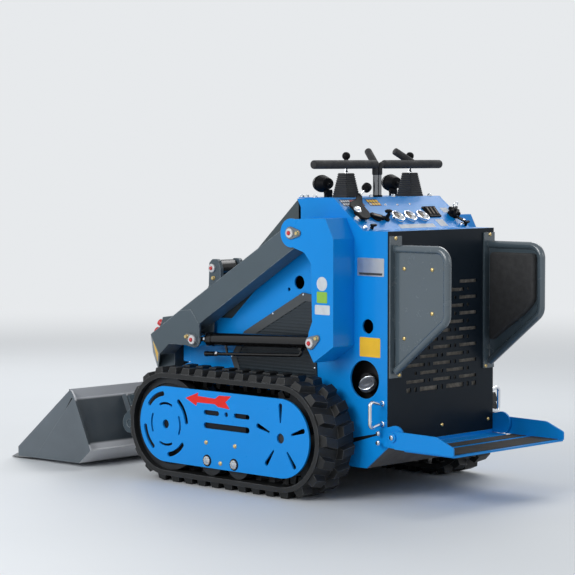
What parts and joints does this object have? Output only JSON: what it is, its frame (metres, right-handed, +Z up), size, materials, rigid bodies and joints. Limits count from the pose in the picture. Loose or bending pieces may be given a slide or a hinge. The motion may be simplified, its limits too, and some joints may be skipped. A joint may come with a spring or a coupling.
{
  "type": "compact stand-on track loader",
  "caption": "Stand-on compact loader on rubber tracks with radial lift arms, a tilting bucket and a folding operator platform.",
  "frame": {"origin": "on the ground, under the middle of the overall length and width", "axes": "+X forward to the bucket, +Y to the operator's left, +Z up"},
  "size_m": [2.1734, 1, 1.2484],
  "materials": {
    "blue_paint": "glossy",
    "slate_paint": "satin",
    "charcoal_paint": "satin",
    "grey_sheet": "satin",
    "track_rubber": "matt",
    "cast_metal": "rough",
    "black_paint": "glossy",
    "chrome": "polished",
    "grip_foam": "matt",
    "pad_foam": "matt",
    "soft_rubber": "matt",
    "black_plastic": "matt",
    "wear_steel": "worn"
  },
  "bodies": {
    "machine": {"track_left": "track_rubber", "track_right": "track_rubber", "track_cover_left": "blue_paint", "track_cover_right": "blue_paint", "track_frame_left": "charcoal_paint", "track_frame_right": "charcoal_paint", "sprocket_left": "cast_metal", "sprocket_right": "cast_metal", "idler_left": "cast_metal", "idler_right": "cast_metal", "track_rollers_left": "cast_metal", "track_rollers_right": "cast_metal", "chassis_frame": "charcoal_paint", "hinge_ears": "blue_paint", "side_plate_left": "blue_paint", "side_plate_right": "blue_paint", "hood": "grey_sheet", "front_cowl": "blue_paint", "side_vent_left": "grey_sheet", "side_vent_right": "grey_sheet", "engine_block": "cast_metal", "fuel_tank": "black_plastic", "console": "blue_paint", "console_controls": "black_plastic", "lever_boots": "soft_rubber", "drive_levers": "chrome", "hand_grip_left": "grip_foam", "hand_grip_right": "grip_foam", "work_lamps": "black_plastic", "rear_guard": "charcoal_paint", "hip_guard_left": "slate_paint", "hip_guard_right": "slate_paint", "hip_pad_left": "pad_foam", "hip_pad_right": "pad_foam", "hand_holds": "chrome", "tower_left": "blue_paint", "tower_right": "blue_paint"},
    "lift_arms": {"lift_arm_left": "slate_paint", "lift_arm_right": "slate_paint", "arm_cross_member": "slate_paint"},
    "attachment": {"hitch_plate": "slate_paint", "bucket": "slate_paint", "cutting_edge": "wear_steel"},
    "platform": {"platform": "blue_paint"},
    "lift_barrel_left": {"lift_barrel_left": "black_paint"},
    "lift_barrel_right": {"lift_barrel_right": "black_paint"},
    "lift_rod_left": {"lift_rod_left": "chrome"},
    "lift_rod_right": {"lift_rod_right": "chrome"},
    "tilt_barrel": {"tilt_barrel": "black_paint"},
    "tilt_rod": {"tilt_rod": "chrome"}
  },
  "joints": [
    {"name": "lift_arms_pivot", "type": "hinge", "parent": "machine", "child": "lift_arms", "pos_m": [-0.40515, 0, 0.942], "axis": [0, -1, 0], "range_deg": [0, 85]},
    {"name": "attachment_pivot", "type": "hinge", "parent": "lift_arms", "child": "attachment", "pos_m": [0.57385, 0, 0.165], "axis": [0, -1, 0], "range_deg": [-110, 25]},
    {"name": "platform_hinge", "type": "hinge", "parent": "machine", "child": "platform", "pos_m": [-0.81215, 0, 0.235], "axis": [0, 1, 0], "range_deg": [0, 70]},
    {"name": "lift_barrel_left_turn", "type": "hinge", "parent": "machine", "child": "lift_barrel_left", "pos_m": [-0.50415, 0.348, 0.553], "axis": [0, -1, 0], "range_deg": [-1, 62]},
    {"name": "lift_rod_left_slide", "type": "slide", "parent": "lift_barrel_left", "child": "lift_rod_left", "axis": [0.9992, 0, -0.04], "range_m": [-0.01, 0.43]},
    {"name": "lift_barrel_right_turn", "type": "hinge", "parent": "machine", "child": "lift_barrel_right", "pos_m": [-0.50415, -0.348, 0.553], "axis": [0, -1, 0], "range_deg": [-1, 62]},
    {"name": "lift_rod_right_slide", "type": "slide", "parent": "lift_barrel_right", "child": "lift_rod_right", "axis": [0.9992, 0, -0.04], "range_m": [-0.01, 0.43]},
    {"name": "tilt_barrel_turn", "type": "hinge", "parent": "lift_arms", "child": "tilt_barrel", "pos_m": [0.35085, 0, 0.776], "axis": [0, -1, 0], "range_deg": [-3, 3]},
    {"name": "tilt_rod_slide", "type": "slide", "parent": "tilt_barrel", "child": "tilt_rod", "axis": [0.5208, 0, -0.8537], "range_m": [-0.07, 0.27]}
  ],
  "couplings": [
    {"joint": "lift_barrel_left_turn", "follows": "lift_arms_pivot", "ratio": 0.7027},
    {"joint": "lift_rod_left_slide", "follows": "lift_arms_pivot", "m_per_rad": 0.2791},
    {"joint": "lift_barrel_right_turn", "follows": "lift_arms_pivot", "ratio": 0.7027},
    {"joint": "lift_rod_right_slide", "follows": "lift_arms_pivot", "m_per_rad": 0.2791},
    {"joint": "tilt_barrel_turn", "follows": "attachment_pivot", "ratio": 0.01},
    {"joint": "tilt_rod_slide", "follows": "attachment_pivot", "m_per_rad": -0.13}
  ]
}
